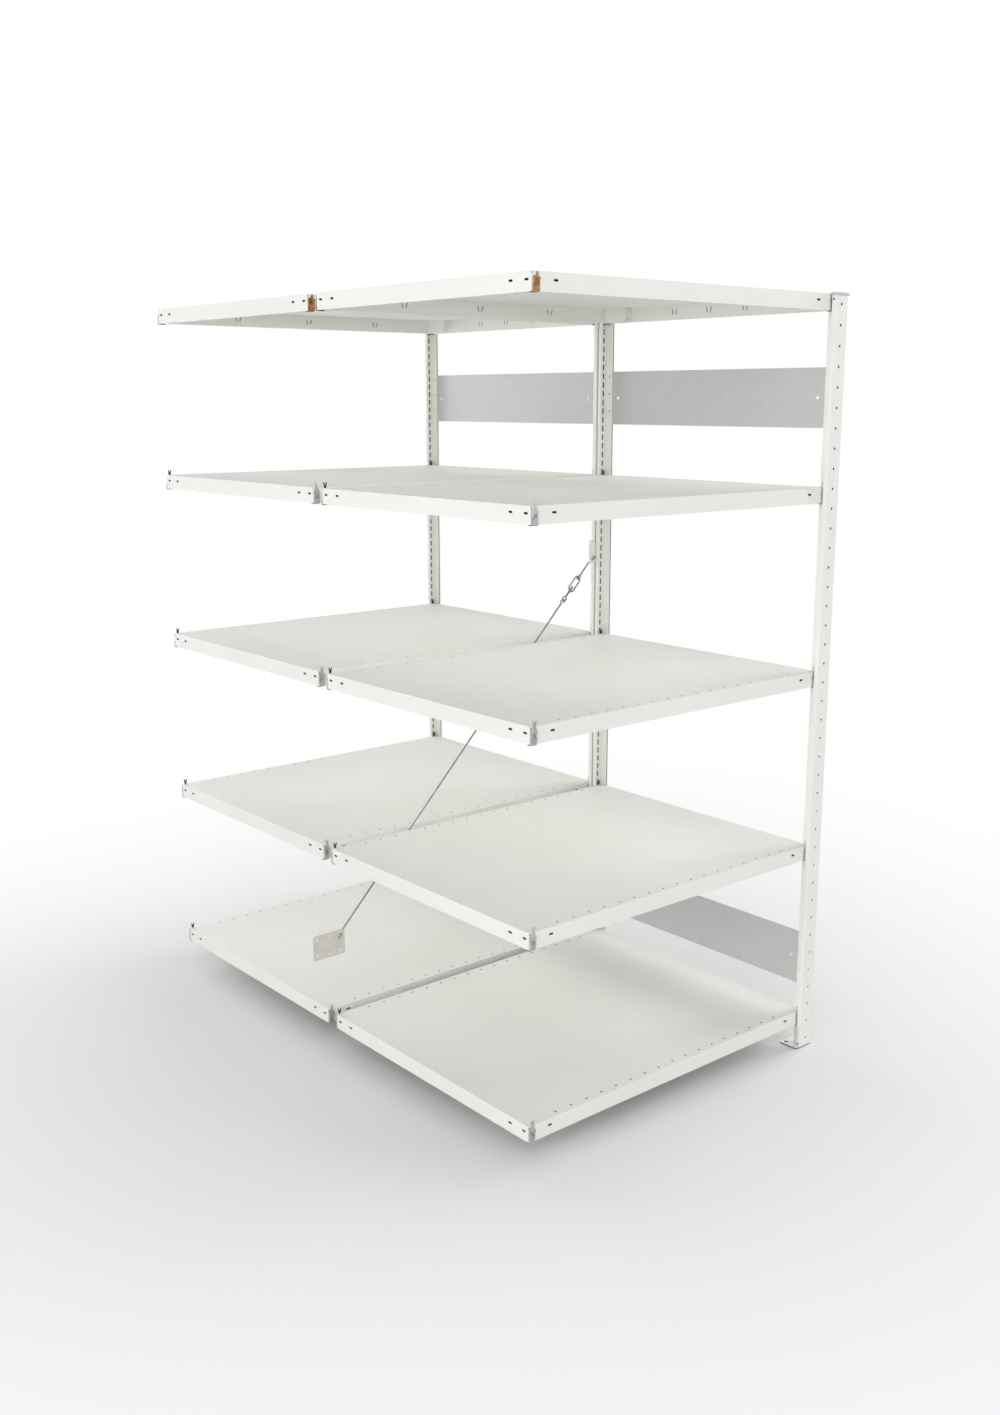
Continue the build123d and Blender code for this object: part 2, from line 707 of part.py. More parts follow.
# Hook bolt: hooked through the upper plate, with a swivel head inside the frame
head_top = window_top - swivel_play
head_bottom = head_top - swivel_head_height
with BuildPart() as upper_hook_bolt:
    with BuildLine() as hook_line:
        hook_start = hook_point + up * head_bottom
        FilletPolyline(*hooked_end(hook_point, up), hook_start, radius=hook_bend)
    with BuildSketch(Plane(origin=hook_line.line @ 0, z_dir=hook_line.line % 0)):
        Circle(rod / 2)
    sweep()
    head_radius = swivel_head / 2
    revolve(turned_profile([(0, head_bottom), (head_radius, head_bottom), (head_radius, head_top),
                            (0, head_top)]), axis=brace_axis)
upper_hook_bolt.part.label = "upper_hook_bolt"
export_step(upper_hook_bolt.part, "parts/upper_hook_bolt.step")

# Eye bolt: threaded through the frame's lower boss
thread_end = window_bottom + thread_inside
with BuildPart() as lower_eye_bolt:
    neck_end = -eye_below_hook + eye_radius
    thread_radius = thread / 2
    revolve(turned_profile([(0, neck_end), (thread_radius, neck_end), (thread_radius, thread_end),
                            (0, thread_end)]), axis=brace_axis)
    add(eye(-eye_below_hook, Vector(0, 1, 0)))
lower_eye_bolt.part.label = "lower_eye_bolt"
export_step(lower_eye_bolt.part, "parts/lower_eye_bolt.step")

# Tie rod: its eye hangs in the eye bolt's, and its other end hooks through the lower plate
rod_eye_below = eye_below_hook + 2 * eye_radius - eye_wire - rod_play
with BuildPart() as tie_rod:
    with BuildLine() as rod_line:
        rod_start = hook_point - up * (rod_eye_below + eye_radius)
        FilletPolyline(*hooked_end(low_point, -up), rod_start, radius=hook_bend)
    with BuildSketch(Plane(origin=rod_line.line @ 0, z_dir=rod_line.line % 0)):
        Circle(rod / 2)
    sweep()
    add(eye(-rod_eye_below, across))
tie_rod.part.label = "tie_rod"
export_step(tie_rod.part, "parts/tie_rod.step")
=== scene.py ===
# %% [markdown]
# # A double-sided add-on bay of clip-in steel shelving
# Two bays of folded steel shelves stand back to back and share one row of perforated T posts.
# Small corner clips hold the shelves, galvanised panels tie the posts in pairs, and a rod with a
# turnbuckle keeps the bay square. The exact solids come in as a fixed frame. This lesson gives each
# of them its finish, and makes again, as fine surfaces, the small pieces that a plain solid tells
# too simply: screw threads, bent rods, domed rivets and rounded sheet edges.

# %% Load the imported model
import json
from math import atan2, cos, radians, sin

import bmesh
import bpy
import numpy as np
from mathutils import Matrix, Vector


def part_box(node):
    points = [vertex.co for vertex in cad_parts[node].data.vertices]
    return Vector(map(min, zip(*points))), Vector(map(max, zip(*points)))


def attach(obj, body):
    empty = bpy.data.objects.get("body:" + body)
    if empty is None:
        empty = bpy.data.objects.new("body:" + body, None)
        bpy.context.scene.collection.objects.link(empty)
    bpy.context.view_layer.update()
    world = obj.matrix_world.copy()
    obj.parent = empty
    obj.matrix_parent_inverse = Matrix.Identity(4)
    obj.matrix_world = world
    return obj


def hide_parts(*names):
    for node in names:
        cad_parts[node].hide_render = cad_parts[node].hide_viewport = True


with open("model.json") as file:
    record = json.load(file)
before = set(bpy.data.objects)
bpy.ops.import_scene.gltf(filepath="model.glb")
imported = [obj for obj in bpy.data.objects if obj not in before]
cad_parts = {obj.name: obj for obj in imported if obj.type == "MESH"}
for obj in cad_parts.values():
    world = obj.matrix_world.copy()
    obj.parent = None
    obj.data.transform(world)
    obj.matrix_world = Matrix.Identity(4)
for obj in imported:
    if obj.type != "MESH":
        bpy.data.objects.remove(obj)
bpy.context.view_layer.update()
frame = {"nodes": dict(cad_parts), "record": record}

# %% [markdown]
# ## The camera
# A catalogue photographer stands back and looks a little down, from eye height. The lens here is
# given by its focal length in pixels over the picture's longer side, which is what Blender's
# automatic sensor fit uses too. A small shift moves the picture on the sensor without turning
# the camera, which puts the bay at its place in the picture.

# %% Camera at the photograph's angle
picture_height = 1415
focal_pixels = 1398.4
shift_pixels = (-5.97, 2.5)
sensor = 36.0
standpoint = (-1.9393, -3.0343, 1.744)
look_down, look_aside = 12.49, 40.25

lens_data = bpy.data.cameras.new("catalogue_camera")
lens_data.sensor_fit = "AUTO"
lens_data.sensor_width = sensor
lens_data.lens = focal_pixels / picture_height * sensor
lens_data.shift_x = shift_pixels[0] / picture_height
lens_data.shift_y = shift_pixels[1] / picture_height
lens_data.clip_start = 0.05
lens_data.clip_end = 200.0

camera = bpy.data.objects.new("catalogue_camera", lens_data)
camera.location = standpoint
camera.rotation_euler = (radians(90 - look_down), 0, radians(-look_aside))
bpy.context.scene.collection.objects.link(camera)
bpy.context.scene.camera = camera
print("lens:", round(lens_data.lens, 2), "mm")

# %% [markdown]
# ## Wiring nodes
# Every finish below is a small network of nodes. Three helpers keep the cells short. One adds a node
# and feeds its inputs, from plain values or from other nodes' outputs. One opens a node group with
# named sockets, so that one effect can serve several finishes. The last lays one pattern over
# another without moving its middle tone.

# %% Helpers for nodes
def place(tree, kind, feeds=None, **settings):
    """Adds a node of one kind, sets its settings, and feeds its inputs by name or number."""
    made = tree.nodes.new(kind)
    for name, value in settings.items():
        setattr(made, name, value)
    for socket, value in (feeds or {}).items():
        if isinstance(value, bpy.types.NodeSocket):
            tree.links.new(value, made.inputs[socket])
        else:
            made.inputs[socket].default_value = value
    return made


def effect(name, inputs):
    """Opens a node group that turns a place and some numbers into a tone, a sheen and a height."""
    group = bpy.data.node_groups.new(name, "ShaderNodeTree")
    group.interface.new_socket(name="Place", in_out="INPUT", socket_type="NodeSocketVector")
    for title, value in inputs.items():
        socket = group.interface.new_socket(name=title, in_out="INPUT", socket_type="NodeSocketFloat")
        socket.default_value = value
    for title in ("Tone", "Sheen", "Height"):
        group.interface.new_socket(name=title, in_out="OUTPUT", socket_type="NodeSocketFloat")
    return group, group.nodes.new("NodeGroupInput"), group.nodes.new("NodeGroupOutput")


def sums(tree, first, second, share):
    """First number plus a share of the second, measured from its middle at one half."""
    centred = place(tree, "ShaderNodeMath", {0: second, 1: 0.5}, operation="SUBTRACT")
    return place(tree, "ShaderNodeMath", {0: centred.outputs[0], 1: share, 2: first},
                 operation="MULTIPLY_ADD").outputs[0]


# %% [markdown]
# ## Powder coat
# The posts and shelves are painted with a dry powder that is baked until it flows. It flows almost
# flat, but leaves a skin like an orange's, about a millimetre from bump to bump. The colour is
# even, with very slow drifts where the layer is thicker. A noise at the size of the bumps gives
# the height, a slow one gives the tone, and one in between dulls and polishes the sheen.

# %% Orange-peel skin
coat_skin, taken, given = effect("coat_skin", {"Grain": 800.0, "Drift": 2.5, "Speck": 0.25})
peel = place(coat_skin, "ShaderNodeTexNoise",
             {"Vector": taken.outputs["Place"], "Scale": taken.outputs["Grain"], "Detail": 1.5,
              "Roughness": 0.4})
drift = place(coat_skin, "ShaderNodeTexNoise",
              {"Vector": taken.outputs["Place"], "Scale": taken.outputs["Drift"], "Detail": 3.0})
specks = place(coat_skin, "ShaderNodeTexNoise",
               {"Vector": taken.outputs["Place"], "Scale": 260.0, "Detail": 4.0, "Roughness": 0.7})
rubs = place(coat_skin, "ShaderNodeTexNoise",
             {"Vector": taken.outputs["Place"], "Scale": 14.0, "Detail": 5.0, "Distortion": 0.8})
coat_skin.links.new(sums(coat_skin, drift.outputs[0], specks.outputs[0], taken.outputs["Speck"]),
                    given.inputs["Tone"])
coat_skin.links.new(sums(coat_skin, rubs.outputs[0], peel.outputs[0], taken.outputs["Speck"]),
                    given.inputs["Sheen"])
coat_skin.links.new(peel.outputs[0], given.inputs["Height"])
print("group:", coat_skin.name, "with", len(coat_skin.nodes), "nodes")

# %% [markdown]
# ## Zinc crystals
# Hot-dipped sheet shows spangle: zinc freezes in flat crystals, each of which leans another way and
# so looks lighter or darker. Cells of a Voronoi texture stand for the crystals. Each cell's random
# colour gives its tone and its sheen, and a soft noise bends the borders, which are never straight.

# %% Spangle
border_bend = (0.012, 0.012, 0.012)

zinc_spangle, taken, given = effect("zinc_spangle", {"Crystals": 110.0, "Cloud": 7.0, "Ripple": 0.35})
bend = place(zinc_spangle, "ShaderNodeTexNoise",
             {"Vector": taken.outputs["Place"], "Scale": 60.0, "Detail": 2.0})
push = place(zinc_spangle, "ShaderNodeVectorMath",
             {0: bend.outputs["Color"], 1: border_bend, 2: taken.outputs["Place"]},
             operation="MULTIPLY_ADD")
crystal = place(zinc_spangle, "ShaderNodeTexVoronoi",
                {"Vector": push.outputs[0], "Scale": taken.outputs["Crystals"]})
leaning = place(zinc_spangle, "ShaderNodeSeparateColor", {"Color": crystal.outputs["Color"]})
cloud = place(zinc_spangle, "ShaderNodeTexNoise",
              {"Vector": taken.outputs["Place"], "Scale": taken.outputs["Cloud"], "Detail": 4.0})
zinc_spangle.links.new(sums(zinc_spangle, leaning.outputs[0], cloud.outputs[0], 0.8),
                       given.inputs["Tone"])
zinc_spangle.links.new(sums(zinc_spangle, leaning.outputs[1], cloud.outputs[0],
                            taken.outputs["Ripple"]), given.inputs["Sheen"])
zinc_spangle.links.new(crystal.outputs["Distance"], given.inputs["Height"])
print("group:", zinc_spangle.name, "with", len(zinc_spangle.nodes), "nodes")

# %% [markdown]
# ## Lines from the mill and the die
# Sheet rolled cold and wire drawn through a die carry fine lines along the way they travelled. A
# noise that is stretched along one axis makes such lines: the place counts for little along that
# axis, so the noise hardly changes there. The group turns the place first, so that the lines can
# follow a piece that leans, such as the rod.

# %% Drawn lines
along_share = (0.015, 1.0, 1.0)
lines_scale = 2400.0

drawn_lines, taken, given = effect("drawn_lines", {"Lean": 0.0, "Fineness": 1.0, "Film": 30.0})
lean = place(drawn_lines, "ShaderNodeCombineXYZ", {1: taken.outputs["Lean"]})
swung = place(drawn_lines, "ShaderNodeVectorRotate",
              {"Vector": taken.outputs["Place"], "Rotation": lean.outputs[0]},
              rotation_type="EULER_XYZ")
stretch = place(drawn_lines, "ShaderNodeVectorMath",
                {0: swung.outputs[0], 1: along_share}, operation="MULTIPLY")
tighter = place(drawn_lines, "ShaderNodeMath", {0: taken.outputs["Fineness"], 1: lines_scale},
                operation="MULTIPLY")
lines = place(drawn_lines, "ShaderNodeTexNoise",
              {"Vector": stretch.outputs[0], "Scale": tighter.outputs[0], "Detail": 3.0,
               "Roughness": 0.6})
film = place(drawn_lines, "ShaderNodeTexNoise",
             {"Vector": taken.outputs["Place"], "Scale": taken.outputs["Film"], "Detail": 4.0,
              "Distortion": 0.6})
drawn_lines.links.new(sums(drawn_lines, film.outputs[0], lines.outputs[0], 0.5), given.inputs["Tone"])
drawn_lines.links.new(sums(drawn_lines, film.outputs[0], lines.outputs[0], 0.9), given.inputs["Sheen"])
drawn_lines.links.new(lines.outputs[0], given.inputs["Height"])
print("group:", drawn_lines.name, "with", len(drawn_lines.nodes), "nodes")

# %% [markdown]
# ## Painted shade inside the folds
# The insides of the posts and of the shelves' folded edges are painted near black as shade: the
# painted shade stands in for the dark in these hollows, and makes the holes and slots look black. All
# these hollows are boxes that lie square to the bay. A mask is one where a point lies in one of
# them: it compares each coordinate with the middle of a box, within half its size. The boxes reach
# half way into the sheet, so that the cut edges of the holes get the painted shade too. The bay
# mirrors itself, so the distance from the middle line of the nearer bay serves both bays and both of
# their sides. The same distance tells the backs of the clips, which lie on the shelves' faces and
# are given the same painted shade.

# %% Mask of the painted fold shade
fold_shade = bpy.data.node_groups.new("fold_shade", "ShaderNodeTree")
fold_shade.interface.new_socket(name="Place", in_out="INPUT", socket_type="NodeSocketVector")
# Two masks of painted shade: one inside the folds, one on the backs of the clips.
for title in ("Inside", "Shade_on_clip_backs"):
    fold_shade.interface.new_socket(name=title, in_out="OUTPUT", socket_type="NodeSocketFloat")
taken, given = fold_shade.nodes.new("NodeGroupInput"), fold_shade.nodes.new("NodeGroupOutput")


def maths(operation, *values):
    """Result of one step of arithmetic inside the mask's group."""
    return place(fold_shade, "ShaderNodeMath", dict(enumerate(values)), operation=operation).outputs[0]


def between(value, low, high):
    """One where a value lies between two limits."""
    return maths("COMPARE", value, (low + high) / 2, (high - low) / 2)


point = place(fold_shade, "ShaderNodeSeparateXYZ", {"Vector": taken.outputs["Place"]})
post_low, post_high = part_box("post_near_front")
shelf_low, shelf_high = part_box("shelf_near_1")
bay_middle = -(shelf_low.y + shelf_high.y) / 2
from_middle = maths("ABSOLUTE", maths("SUBTRACT", maths("ABSOLUTE", point.outputs[1]), bay_middle))

flange, wall, web, skin = 0.012, 0.0015, 0.006, 0.001
end_fold, edge_fold, edge_height = 0.015, 0.024, 0.04
flange_out = -post_low.y - bay_middle
web_end = -post_high.y - bay_middle
post_x = (post_low.x + post_high.x) / 2
web_half = (web - wall) / 2
in_flange = maths("MULTIPLY", between(point.outputs[0], post_low.x + wall / 2, post_high.x - wall / 2),
                  between(from_middle, flange_out - flange + wall / 2, flange_out - wall / 2))
in_web = maths("MULTIPLY", between(point.outputs[0], post_x - web_half, post_x + web_half),
               between(from_middle, web_end + wall / 2, flange_out - flange))

shelf_half = (shelf_high.y - shelf_low.y) / 2
outline = maths("MULTIPLY", between(point.outputs[0], shelf_low.x + skin / 2, shelf_high.x - skin / 2),
                between(from_middle, 0.0, shelf_half - skin / 2))
opening = maths("MULTIPLY", between(point.outputs[0], shelf_low.x + end_fold - skin / 2,
                                    shelf_high.x - end_fold + skin / 2),
                between(from_middle, 0.0, shelf_half - edge_fold + skin / 2))
in_rim = maths("MULTIPLY", outline, maths("SUBTRACT", 1.0, opening))
in_level = 0.0
for level in range(1, 6):
    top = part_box(f"shelf_near_{level}")[1].z
    in_level = maths("ADD", in_level,
                     between(point.outputs[2], top - edge_height + skin / 2, top - skin / 2))
# Painted shade inside the flanges and webs of the posts, and inside the shelves' rims at each level.
fold_shade.links.new(maths("MAXIMUM", maths("MAXIMUM", in_flange, in_web),
                            maths("MULTIPLY", in_rim, in_level)), given.inputs["Inside"])
# Painted shade on every part of a clip that lies within a shelf's depth, its back and its foot.
fold_shade.links.new(between(from_middle, 0.0, shelf_half + skin / 2), given.inputs["Shade_on_clip_backs"])
print("group:", fold_shade.name, "with", len(fold_shade.nodes), "nodes")

# %% [markdown]
# ## The finishes
# Each finish mixes two colours by the tone of its group, takes its roughness between two limits by
# the sheen, and raises a bump by the height. What is the same all over, such as how metallic it
# is, is set on the shader itself. A folded piece is painted near black inside its folds as painted
# shade, and so is the bottom edge of a plate that lies on the floor.

# %% From an effect to a finish
# Near black, for painted shade in folds, on the backs of clips and on the foot plates' bottom edges.
painted_shade_black = (0.03, 0.03, 0.032, 1)


def finish(name, group, numbers, colours, roughness, bump, metallic=0.0, coat=0.0, contrast=(0.3, 0.7),
           dark=None, shaded_edge_height=0.0):
    """A material whose colour, roughness and bump follow one effect's tone, sheen and height.

    It is painted near black as shade where the mask named dark is one, and on a plate's shaded bottom
    edge.
    A mix of colours takes its share in socket 0 and the colours in 6 and 7, and gives output 2.
    """
    material = bpy.data.materials.new(name)
    material.use_nodes = True
    tree = material.node_tree
    tree.nodes.clear()
    where = place(tree, "ShaderNodeTexCoord")
    effects = place(tree, "ShaderNodeGroup", node_tree=group)
    tree.links.new(where.outputs["Object"], effects.inputs["Place"])
    for title, value in numbers.items():
        effects.inputs[title].default_value = value
    tone = place(tree, "ShaderNodeMapRange",
                 {"Value": effects.outputs["Tone"], "From Min": contrast[0], "From Max": contrast[1]})
    colour = place(tree, "ShaderNodeMix",
                   {0: tone.outputs[0], 6: (*colours[0], 1), 7: (*colours[1], 1)}, data_type="RGBA")
    # Painted shade: near black wherever the chosen mask is one.
    if dark:
        shade_mask = place(tree, "ShaderNodeGroup", {"Place": where.outputs["Object"]}, node_tree=fold_shade)
        colour = place(tree, "ShaderNodeMix",
                       {0: shade_mask.outputs[dark], 6: colour.outputs[2], 7: painted_shade_black}, data_type="RGBA")
    # Painted shade on a plate's edge and hole walls, below the given height above the floor.
    if shaded_edge_height:
        spot = place(tree, "ShaderNodeSeparateXYZ", {"Vector": where.outputs["Object"]})
        edge = place(tree, "ShaderNodeMath", {0: spot.outputs[2], 1: shaded_edge_height}, operation="LESS_THAN")
        colour = place(tree, "ShaderNodeMix", {0: edge.outputs[0], 6: colour.outputs[2], 7: painted_shade_black},
                       data_type="RGBA")
    dull = place(tree, "ShaderNodeMapRange",
                 {"Value": effects.outputs["Sheen"], "From Min": contrast[0], "From Max": contrast[1],
                  "To Min": roughness[0], "To Max": roughness[1]})
    raised = place(tree, "ShaderNodeBump",
                   {"Height": effects.outputs["Height"], "Strength": bump[0], "Distance": bump[1]})
    surface = place(tree, "ShaderNodeBsdfPrincipled",
                    {"Base Color": colour.outputs[2], "Roughness": dull.outputs[0],
                     "Normal": raised.outputs[0], "Metallic": metallic, "Coat Weight": coat,
                     "Coat Roughness": 0.2})
    result = place(tree, "ShaderNodeOutputMaterial", {"Surface": surface.outputs[0]})
    result.is_active_output = True
    print("finish:", name)
    return material


# %% The finishes of this bay
brace_rise, brace_run = 0.956, 0.929
brace_lean = atan2(brace_rise, brace_run)
# Powder coat gets the painted shade in its folds; bright zinc and chromate get it on the clips' backs.
finishes = {
    "powder_coat": finish(
        "powder_coat", coat_skin, {"Grain": 800.0, "Drift": 2.5, "Speck": 0.3},
        ((0.79, 0.797, 0.755), (0.83, 0.837, 0.795)), (0.46, 0.56), (0.12, 0.0002), dark="Inside"),
    "warm_coat": finish(
        "warm_coat", coat_skin, {"Grain": 700.0, "Drift": 9.0, "Speck": 0.4},
        ((0.565, 0.54, 0.495), (0.64, 0.615, 0.57)), (0.4, 0.52), (0.15, 0.0002)),
    "galvanised": finish(
        "galvanised", zinc_spangle, {"Crystals": 110.0, "Cloud": 7.0, "Ripple": 0.35},
        ((0.52, 0.52, 0.525), (0.545, 0.545, 0.55)), (0.5, 0.6), (0.05, 0.0002), metallic=0.35,
        contrast=(0.0, 1.0)),
    "bright_zinc": finish(
        "bright_zinc", drawn_lines, {"Lean": 0.0, "Fineness": 0.8, "Film": 60.0},
        ((0.46, 0.46, 0.475), (0.64, 0.64, 0.66)), (0.25, 0.42), (0.12, 0.0001), metallic=0.8,
        dark="Shade_on_clip_backs"),
    "chromate": finish(
        "chromate", drawn_lines, {"Lean": 0.0, "Fineness": 0.8, "Film": 90.0},
        ((0.2, 0.095, 0.03), (0.56, 0.3, 0.11)), (0.25, 0.42), (0.12, 0.0001), metallic=0.55,
        coat=0.2, dark="Shade_on_clip_backs"),
    "brace_steel": finish(
        "brace_steel", drawn_lines, {"Lean": brace_lean, "Fineness": 1.0, "Film": 25.0},
        ((0.22, 0.22, 0.22), (0.36, 0.36, 0.36)), (0.42, 0.58), (0.15, 0.0001), metallic=0.5),
}
# The foot plates get painted shade on their edges and hole walls, up to 2.6 mm above the floor.
foot_zinc = finish(
    "foot_zinc", drawn_lines, {"Lean": 0.0, "Fineness": 0.8, "Film": 60.0},
    ((0.74, 0.74, 0.745), (0.84, 0.84, 0.845)), (0.3, 0.45), (0.08, 0.0001), metallic=0.5,
    shaded_edge_height=0.0026)

slot_of = {part["node"]: part["material_slot"] for part in frame["record"]["subparts"]}
body_of = {node: body for body, nodes in frame["record"]["behaviour"]["bodies"].items()
           for node in nodes}
for node, piece in frame["nodes"].items():
    piece.data.materials.clear()
    piece.data.materials.append(foot_zinc if node.startswith("foot") else finishes[slot_of[node]])
print("finished nodes:", len(slot_of))

# %% [markdown]
# ## Surfaces from grids
# The fine pieces are surfaces of two parameters. A grid of points is worked out as one array, and
# its quads join each point to its neighbours. A grid may close on itself along either parameter,
# which makes tubes and rings without a seam. An open end of a tube gets one face with many corners.

# %% Grid to mesh
def grid_faces(rows, columns, ring):
    """Corner numbers of the quads of a grid that closes on itself along its columns.

    Point (i, j) has the number i * columns + j, and quad (i, j) runs to row i + 1 and column j + 1,
    counted round again from zero. A ring closes along its rows too, and a tube has a face at each end.
    """
    row = np.arange(rows if ring else rows - 1)[:, None]
    column = np.arange(columns)[None, :]
    after_row = (row + 1) % rows
    after_column = (column + 1) % columns
    quads = np.stack([row * columns + column, row * columns + after_column,
                      after_row * columns + after_column, after_row * columns + column], -1)
    faces = quads.reshape(-1, 4).tolist()
    if not ring:
        faces.append(np.arange(columns)[::-1].tolist())
        faces.append((np.arange(columns) + (rows - 1) * columns).tolist())
    return faces


def surface_piece(name, grids, finish_name, node, smooth=60):
    """Makes one object from several grids of points, which stands for a node and rides on its body."""
    points, faces, start = [], [], 0
    for grid, ring in grids:
        rows, columns = grid.shape[:2]
        points.append(grid.reshape(-1, 3))
        faces += [[start + corner for corner in face] for face in grid_faces(rows, columns, ring)]
        start += rows * columns
    mesh = bpy.data.meshes.new(name)
    mesh.from_pydata(np.concatenate(points).tolist(), [], faces)
    work = bmesh.new()
    work.from_mesh(mesh)
    bmesh.ops.recalc_face_normals(work, faces=work.faces)
    work.to_mesh(mesh)
    work.free()
    mesh.shade_smooth()
    mesh.set_sharp_from_angle(angle=radians(smooth))
    mesh.materials.append(finishes[finish_name])
    piece = bpy.data.objects.new(name, mesh)
    bpy.context.scene.collection.objects.link(piece)
    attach(piece, body_of[node])
    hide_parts(node)
    print("piece:", name, "faces:", len(faces))


# %% [markdown]
# ## The brace's own directions
# The rod, the eye bolt and the turnbuckle share one leaning axis. Working out points along it,
# across it and through the depth of the bay keeps every formula below simple.

# %% Axis of the brace
hook_point = np.array([0.967, 0.0043, 1.278])
low_hook_point = np.array([0.038, 0.0043, 0.322])
along = np.array([cos(brace_lean), 0.0, sin(brace_lean)])
across = np.array([sin(brace_lean), 0.0, -cos(brace_lean)])
depth = np.array([0.0, 1.0, 0.0])


def on_brace(up, side, back):
    """Points from three arrays of distances: up the rod, across it and through the depth."""
    up, side, back = np.broadcast_arrays(up, side, back)
    return (hook_point + up[..., None] * along + side[..., None] * across + back[..., None] * depth)


print("brace leans", round(np.degrees(brace_lean), 1), "degrees")

# %% [markdown]
# ## Eye bolt with a rolled thread
# The screw that the turnbuckle pulls has a metric thread of 6 mm with a pitch of 1 mm. A thread is
# a ridge that climbs by one pitch in each turn. On a grid of height and angle the radius is a
# zigzag of (height over pitch minus angle over a turn), and the ridge then winds by itself.
# The eye is a ring of wire, and a short neck, turned as on a lathe, joins it to the screw.

# %% Eye bolt
def threaded_shank(low, high, crest, deep, pitch, columns=28, steps=7):
    """Grid of a screw: radius = crest minus depth times a zigzag of (height / pitch - angle / turn).

    The ridge fades to the root over the first turns at both ends, as where a die runs out.
    """
    height = np.linspace(low, high, int((high - low) / pitch * steps) + 1)[:, None]
    angle = np.linspace(0, 2 * np.pi, columns, endpoint=False)[None, :]
    phase = (height / pitch - angle / (2 * np.pi)) % 1.0
    zigzag = np.abs(2 * phase - 1)
    fade = np.clip(np.minimum(height - low, high - height) / (1.5 * pitch), 0, 1)
    radius = crest - deep * (1 - fade * (1 - zigzag))
    return on_brace(height, radius * np.cos(angle), radius * np.sin(angle))


def wire_ring(centre, radius, wire, first, second, columns=18, rows=48):
    """Grid of a ring: a circle of wire carried round a larger circle between two directions."""
    turn = np.linspace(0, 2 * np.pi, rows, endpoint=False)[:, None, None]
    angle = np.linspace(0, 2 * np.pi, columns, endpoint=False)[None, :, None]
    outward = np.cos(turn) * first + np.sin(turn) * second
    beside = np.cross(first, second)
    return centre + outward * (radius + wire * np.cos(angle)) + beside * (wire * np.sin(angle))


def turned(profile, columns=32):
    """Grid of a body of revolution about the brace: each (radius, height) makes one circle."""
    radius, height = np.array(profile).T[:, :, None]
    angle = np.linspace(0, 2 * np.pi, columns, endpoint=False)[None, :]
    return on_brace(height + 0 * angle, radius * np.cos(angle), radius * np.sin(angle))


thread_low, thread_high, pitch = -0.1425, -0.106, 0.001
thread_crest, thread_depth = 0.00298, 0.00055
neck = [(0.0021, -0.1475), (0.0026, -0.1462), (0.0030, -0.1445), (0.0030, -0.1425),
        (0.0024, -0.1420)]
eye_place = on_brace(np.array(-0.153), 0.0, 0.0)
eye_radius, wire_radius = 0.007, 0.002
surface_piece("threaded_eye_bolt", [
    (threaded_shank(thread_low, thread_high, thread_crest, thread_depth, pitch), False),
    (turned(neck), False),
    (wire_ring(eye_place, eye_radius, wire_radius, along, across), True),
], "brace_steel", "lower_eye_bolt")

# %% [markdown]
# ## Bent rods
# A hook is rod bent cold: it goes through the plate and turns back up behind it, so that it can't
# slip out. The rod's other end is rolled into an eye. Both are one circle carried along a path that
# lies in a plane, so the sideways direction is the same all along, and the second direction of the
# circle is square to it and to the path.

# %% Path and tube
rod_radius = 0.0025


def arc(centre, radius, start, stop, count=9):
    """Points of an arc as pairs (up, back), from one angle to another, in degrees."""
    angle = np.radians(np.linspace(start, stop, count))
    return np.stack([centre[0] + radius * np.cos(angle), centre[1] + radius * np.sin(angle)], -1)


def rod_tube(path, radius, columns=20, broken=0.0004):
    """Grid of a rod: a circle square to the path, from the path's pairs (up, back).

    The last rings shrink a little, which breaks the sharp edge that shears leave.
    """
    ends = [path[0] + (path[1] - path[0]) / np.linalg.norm(path[1] - path[0]) * broken,
            path[-1] - (path[-1] - path[-2]) / np.linalg.norm(path[-1] - path[-2]) * broken]
    path = np.concatenate([path[:1], ends[:1], path[1:-1], ends[1:], path[-1:]])
    radius = np.broadcast_to(radius, len(path) - 2) if np.ndim(radius) == 0 else radius
    radius = np.concatenate([radius[:1] - broken, radius, radius[-1:] - broken])[:, None]
    ahead = np.gradient(path, axis=0)
    ahead /= np.linalg.norm(ahead, axis=1, keepdims=True)
    angle = np.linspace(0, 2 * np.pi, columns, endpoint=False)[None, :]
    up = path[:, :1] - radius * np.sin(angle) * ahead[:, 1:]
    back = path[:, 1:] + radius * np.sin(angle) * ahead[:, :1]
    return on_brace(up, radius * np.cos(angle), back)


def crossing(way, bend=0.004, half=0.0043, tail=0.012):
    """Bent end as pairs (up, back) about the hook hole: a tail behind the plate, an S through it."""
    first = arc((bend, bend - 2 * half), bend, 270, 180)
    second = arc((-bend, -bend), bend, 0, 90)
    shape = np.concatenate([[(tail, -2 * half)], first, second])
    return shape * np.array([way, 1.0])


# %% Hook bolt with its swivel head
hook_path = np.concatenate([crossing(1), [(-0.02, 0.0), (-0.05, 0.0), (-0.077, 0.0)]])
swivel_head = [(0.0036, -0.0783), (0.0042, -0.0777), (0.0042, -0.0749), (0.0036, -0.0743)]
surface_piece("bent_hook_bolt", [
    (rod_tube(hook_path, rod_radius), False),
    (turned(swivel_head), False),
], "brace_steel", "upper_hook_bolt")

